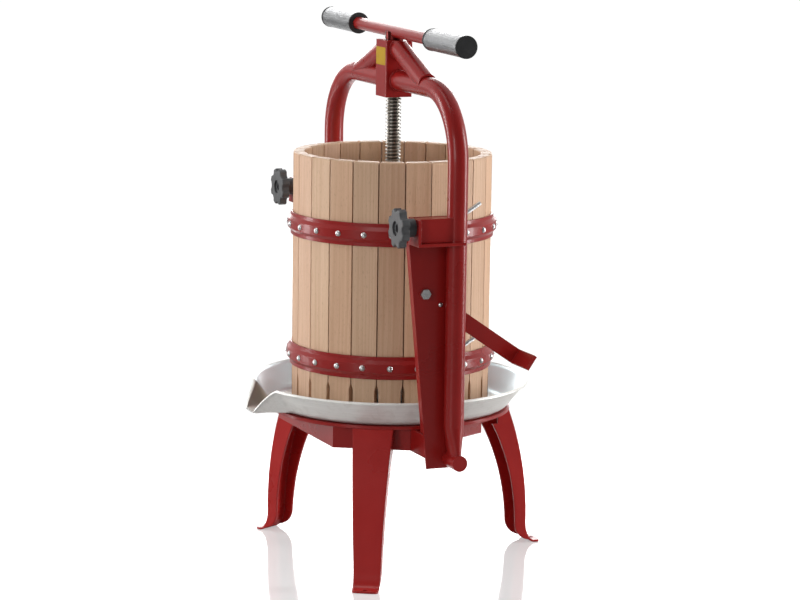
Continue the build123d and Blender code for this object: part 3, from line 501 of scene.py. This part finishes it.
def juice_tray():
    """The pan and its rolled rim, which stand for the tray's solid."""
    sheet, bead, spout_bead = 0.0015, 0.0016, 0.0011
    low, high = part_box("tray")
    ring_lip = 0.005                                # base ring beyond the tray's floor
    rim_radius = high.x - bead
    floor_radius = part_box("base_ring")[1].x - ring_lip
    spout_angle = math.radians(14.5)                # spout's shoulder from its middle
    tip_half, tip_foot_half, tip_rim = 0.0150, 0.0135, low.z + 0.0030
    lip_y, lip_turn = low.y + spout_bead, 0.0004
    rim_root_pull, rim_tip_pull = 0.010, 0.022 * Vector((-0.54, 0.355, 0.763))
    foot_root_pull, foot_tip_pull = 0.014, 0.025 * Vector((-0.3, 0.954, 0))
    foot_round, floor_rings, wall_steps, round_steps = 0.0075, 6, 6, 5
    wall_columns, side_columns, lip_columns = 166, 18, 8

    def on_circle(angle, radius, z):
        return Vector((radius * math.sin(angle), -radius * math.cos(angle), z))

    # Foot and rim of the sheet, once around, from the spout's right shoulder
    foot, rim = [], []
    for k in range(wall_columns + 1):
        angle = spout_angle + (2 * math.pi - 2 * spout_angle) * k / wall_columns
        foot.append(on_circle(angle, floor_radius, low.z))
        rim.append(on_circle(angle, rim_radius, high.z))
    heading = Vector((math.cos(spout_angle), -math.sin(spout_angle), 0))
    rim_tip = Vector((-tip_half, lip_y, tip_rim))
    foot_tip = Vector((-tip_foot_half, lip_y, low.z))
    rim_curve = (rim[-1], rim[-1] + rim_root_pull * heading, rim_tip + rim_tip_pull, rim_tip)
    foot_curve = (foot[-1], foot[-1] + foot_root_pull * heading, foot_tip + foot_tip_pull, foot_tip)
    for k in range(1, side_columns + 1):
        rim.append(bezier(rim_curve, k / side_columns))
        foot.append(bezier(foot_curve, k / side_columns))
    for k in range(1, lip_columns):
        across = 1 - 2 * k / lip_columns
        foot.append(Vector((-tip_foot_half * across, lip_y, low.z)))
        rim.append(Vector((-tip_foot_half * across, lip_y, low.z + lip_turn)))
    for curve in (foot, rim):
        curve += [Vector((-p.x, p.y, p.z)) for p in reversed(curve[wall_columns + 1:-lip_columns + 1])]

    # Rows of the sheet: floor, rounded foot, wall
    count = len(foot)
    up = Vector((0, 0, 1))
    rows = [[] for _ in range(floor_rings + round_steps + wall_steps)]
    for k in range(count):
        run = (foot[(k + 1) % count] - foot[k - 1]).normalized()
        inner = foot[k] + foot_round * up.cross(run)
        rise = rim[k] - foot[k]
        bent = foot[k] + rise * min(0.5, foot_round / rise.length)
        middle = Vector((0, 0, low.z))
        profile = [middle.lerp(inner, (step + 1) / floor_rings) for step in range(floor_rings)]
        for step in range(1, round_steps + 1):
            share = step / round_steps
            profile.append(inner.lerp(foot[k], share).lerp(foot[k].lerp(bent, share), share))
        profile += [bent.lerp(rim[k], (step + 1) / wall_steps) for step in range(wall_steps)]
        for row, point in zip(rows, profile):
            row.append(point)
    mesh = bmesh.new()
    verts = [[mesh.verts.new(point) for point in row] for row in rows]
    centre = mesh.verts.new((0, 0, low.z))
    for k in range(count):
        after = (k + 1) % count
        mesh.faces.new((centre, verts[0][k], verts[0][after]))
        for lower, upper in zip(verts, verts[1:]):
            mesh.faces.new((lower[k], upper[k], upper[after], lower[after]))
    bmesh.ops.recalc_face_normals(mesh, faces=mesh.faces)
    pan = mesh_piece("tray_pan", mesh, finishes["tray_steel"])
    shell = pan.modifiers.new("sheet", "SOLIDIFY")
    shell.thickness = sheet
    shell.offset = 1.0

    # Rolled rim, from one side of the lip round to the other
    start = wall_columns + 1 + side_columns + lip_columns - 1
    ring = [rim[(start + k) % count] for k in range(count - lip_columns + 1)]
    radii = []
    for point in ring:
        share = (high.z - point.z) / (high.z - tip_rim)
        radii.append(bead + (spout_bead - bead) * share)
    path = [point - bead * up for point in ring]
    edge = tube("tray_rim", path, radii, up, finishes["tray_steel"], closed=False)
    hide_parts("tray")


juice_tray()


# Weld beads where the bow's crossbar and the braces meet the nut block
def weld(name, centre, across, rise, start, end):
    """A rippled bead on an ellipse in the block's side plane, between two angles in degrees."""
    steps, throat, ripple, ripples = 240, 0.0017, 0.13, 40
    path, radii = [], []
    for k in range(steps + 1):
        angle = math.radians(start + (end - start) * k / steps)
        path.append(centre + Vector((0, across * math.cos(angle), rise * math.sin(angle))))
        radii.append(throat * (1 + ripple * math.sin(2 * math.pi * ripples * k / steps)))
    closed = abs(end - start) == 360
    if closed:
        path, radii = path[:-1], radii[:-1]
    made = tube(name, path, radii, Vector((1, 0, 0)), finishes["red_paint"], closed)


bow_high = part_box("bow_right")[1]
tube_radius = bow_high.y
brace_slope = math.radians(22.0)
brace_drop = 0.011              # brace's axis below the block's top
weld_end = 0.001                # end of its bead below the block's top
weld_lift = 0.0003
brace_rise = tube_radius / math.cos(brace_slope)
top_share = math.degrees(math.asin((brace_drop - weld_end) / brace_rise))
for name, side in (("right", 1), ("left", -1)):
    face = side * (block_high.x + weld_lift)
    weld(
        f"weld_bar_{name}", Vector((face, 0, bow_high.z - tube_radius)), tube_radius, tube_radius,
        0, 360,
    )
    weld(
        f"weld_brace_{name}", Vector((face, 0, block_high.z - brace_drop)), tube_radius, brace_rise,
        top_share, -180 - top_share,
    )


def place_at(bearing, reach, height):
    """Point `bearing` round from -Y towards +X, at a distance from the screw's axis."""
    return Vector((math.sin(bearing) * reach, -math.cos(bearing) * reach, height))


def look():
    """The camera, where the photograph was taken from."""
    bearing = camera_azimuth - math.atan(centre_shift_px / focal_px)
    ahead = Vector((-math.sin(bearing), math.cos(bearing), 0))
    aside = Vector((math.cos(bearing), math.sin(bearing), 0))
    above = Vector((0, 0, 1))
    forward = ahead * math.cos(camera_pitch) - above * math.sin(camera_pitch)
    upright = above * math.cos(camera_pitch) + ahead * math.sin(camera_pitch)
    right = aside * math.cos(camera_roll) + upright * math.sin(camera_roll)
    top = upright * math.cos(camera_roll) - aside * math.sin(camera_roll)
    eye = place_at(camera_azimuth, camera_reach, camera_height)
    data = bpy.data.cameras.new("camera")
    data.sensor_fit = "HORIZONTAL"
    data.sensor_width = 36.0
    data.lens = focal_px / photo_width * data.sensor_width
    data.clip_end = 60.0
    made = bpy.data.objects.new("camera", data)
    made.matrix_world = Matrix.Translation(eye) @ Matrix((right, top, -forward)).transposed().to_4x4()
    bpy.context.scene.collection.objects.link(made)
    bpy.context.scene.camera = made


look()


# Studio: a white floor, a white surround and soft lamps
def add_node(tree, kind, **inputs):
    """A shader node with its sockets set to numbers or linked to other sockets."""
    made = tree.nodes.new("ShaderNode" + kind)
    for name, value in inputs.items():
        socket = made.inputs[name.replace("_", " ")]
        if isinstance(value, bpy.types.NodeSocket):
            tree.links.new(value, socket)
        else:
            socket.default_value = value
    return made


def floor(paint, shine, near_glow, far_glow):
    """A glossy pale floor, lifted to white for the camera, more where the lamps don't reach."""
    radius, near, far = 30.0, 1.1, 3.0
    material = bpy.data.materials.new("floor")
    material.use_nodes = True
    tree = material.node_tree
    tree.nodes.clear()
    spot = add_node(tree, "TexCoord").outputs["Object"]
    away = tree.nodes.new("ShaderNodeVectorMath")
    away.operation = "LENGTH"
    tree.links.new(spot, away.inputs[0])
    glow = add_node(
        tree, "MapRange", Value=away.outputs["Value"], From_Min=near, From_Max=far,
        To_Min=near_glow, To_Max=far_glow,
    )
    seen = add_node(tree, "LightPath").outputs["Is Camera Ray"]
    lift = add_node(tree, "MapRange", Value=seen, To_Max=glow.outputs["Result"])
    matt = add_node(tree, "BsdfDiffuse", Color=(paint, paint, paint, 1))
    gloss = add_node(tree, "BsdfGlossy", Color=(1, 1, 1, 1), Roughness=0.08)
    blend = add_node(tree, "MixShader", Fac=shine)
    tree.links.new(matt.outputs[0], blend.inputs[1])
    tree.links.new(gloss.outputs[0], blend.inputs[2])
    total = add_node(tree, "AddShader")
    tree.links.new(blend.outputs[0], total.inputs[0])
    light = add_node(tree, "Emission", Strength=lift.outputs["Result"])
    tree.links.new(light.outputs[0], total.inputs[1])
    add_node(tree, "OutputMaterial", Surface=total.outputs[0])
    mesh = bmesh.new()
    bmesh.ops.create_circle(mesh, cap_ends=True, segments=96, radius=radius)
    data = bpy.data.meshes.new("floor")
    mesh.to_mesh(data)
    mesh.free()
    data.materials.append(material)
    made = bpy.data.objects.new("floor", data)
    bpy.context.scene.collection.objects.link(made)


def surround(ambient, front):
    """White for the camera; in reflections white behind the object and `front` on its near side."""
    away = (-math.sin(camera_azimuth), math.cos(camera_azimuth), 0.0)
    near_edge, far_edge = -0.45, 0.35
    world = bpy.data.worlds.new("studio")
    bpy.context.scene.world = world
    world.use_nodes = True
    tree = world.node_tree
    tree.nodes.clear()
    path = add_node(tree, "LightPath").outputs
    heading = tree.nodes.new("ShaderNodeVectorMath")
    heading.operation = "DOT_PRODUCT"
    tree.links.new(add_node(tree, "TexCoord").outputs["Generated"], heading.inputs[0])
    heading.inputs[1].default_value = away
    backdrop = add_node(
        tree, "MapRange", Value=heading.outputs["Value"], From_Min=near_edge, From_Max=far_edge,
        To_Min=front, To_Max=1.0,
    )
    mirror = add_node(
        tree, "MapRange", Value=path["Is Glossy Ray"], To_Min=ambient, To_Max=backdrop.outputs["Result"]
    )
    clear = add_node(tree, "Math", Value=path["Is Camera Ray"])
    clear.operation = "MAXIMUM"
    tree.links.new(path["Is Transmission Ray"], clear.inputs[1])
    level = add_node(
        tree, "MapRange", Value=clear.outputs[0], To_Min=mirror.outputs["Result"], To_Max=1.0
    )
    shade = add_node(tree, "Background", Strength=level.outputs["Result"])
    add_node(tree, "OutputWorld", Surface=shade.outputs[0])


def softbox(name, bearing, reach, height, size, power):
    """A lamp `bearing` degrees round to the right of the camera, aimed at the object's middle."""
    middle = Vector((0, 0, 0.42))
    place = place_at(camera_azimuth + math.radians(bearing), reach, height)
    data = bpy.data.lights.new(name, "AREA")
    data.shape = "RECTANGLE"
    data.size, data.size_y = size
    data.energy = power
    made = bpy.data.objects.new(name, data)
    made.location = place
    made.rotation_mode = "QUATERNION"
    made.rotation_quaternion = (middle - place).to_track_quat("-Z", "Y")
    made.visible_camera = False
    bpy.context.scene.collection.objects.link(made)


floor(paint=0.52, shine=0.25, near_glow=0.39, far_glow=0.72)
surround(ambient=0.36, front=0.18)
softbox("lamp_left", bearing=-105, reach=2.6, height=0.9, size=(0.5, 1.7), power=39.0)
softbox("lamp_right", bearing=94, reach=2.6, height=0.9, size=(0.5, 1.7), power=55.0)
softbox("lamp_back", bearing=182, reach=3.0, height=1.15, size=(2.3, 1.3), power=46.0)
softbox("lamp_top", bearing=-80, reach=0.5, height=2.8, size=(1.6, 0.8), power=13.0)
softbox("lamp_front", bearing=-34, reach=3.9, height=1.3, size=(1.0, 1.8), power=36.0)

bpy.context.scene.view_settings.view_transform = "Standard"
